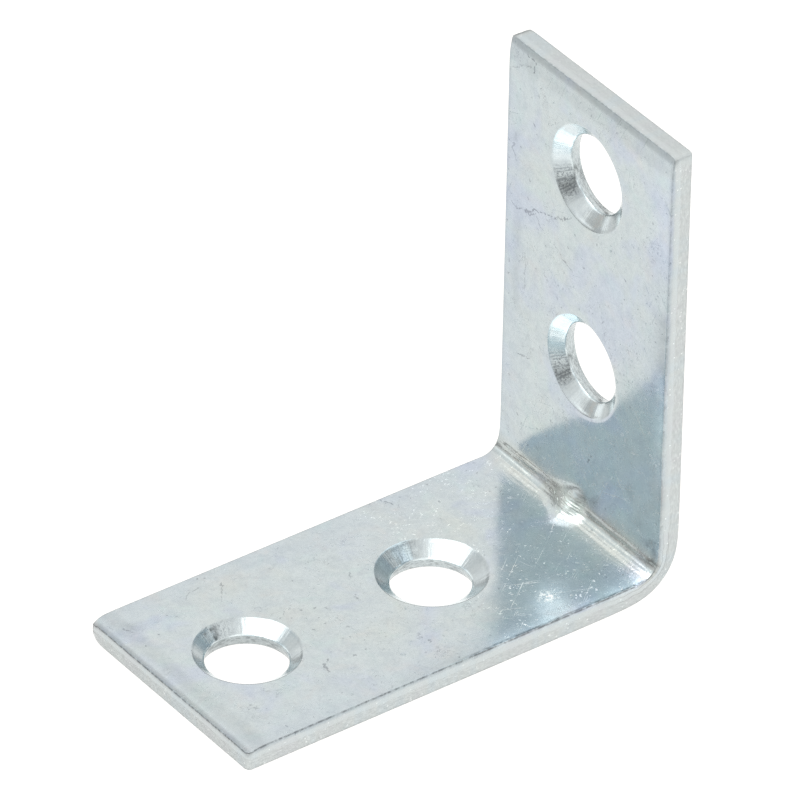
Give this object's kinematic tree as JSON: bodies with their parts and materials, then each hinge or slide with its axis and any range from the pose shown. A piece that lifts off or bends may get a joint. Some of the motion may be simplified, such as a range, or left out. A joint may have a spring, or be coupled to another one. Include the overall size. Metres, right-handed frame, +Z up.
{
  "type": "angle bracket",
  "caption": "Small folded steel angle bracket with countersunk screw holes in both legs and a pressed stiffening dart across the inside of the fold.",
  "frame": {"origin": "under the middle of the lying leg, on its flat underside: the centre of the bounding box in plan and its lowest level", "axes": "+X from the lying leg's free end towards the upright leg, out of the upright leg's flat outer face; +Y along the strip's width; +Z up, along the upright leg"},
  "size_m": [0.03, 0.0152, 0.03],
  "materials": {
    "zinc_plate": "bright zinc plating with a faint blue passivation, semi-gloss, lightly mottled and scratched"
  },
  "bodies": {
    "root": {"bracket": "zinc_plate"}
  },
  "joints": []
}
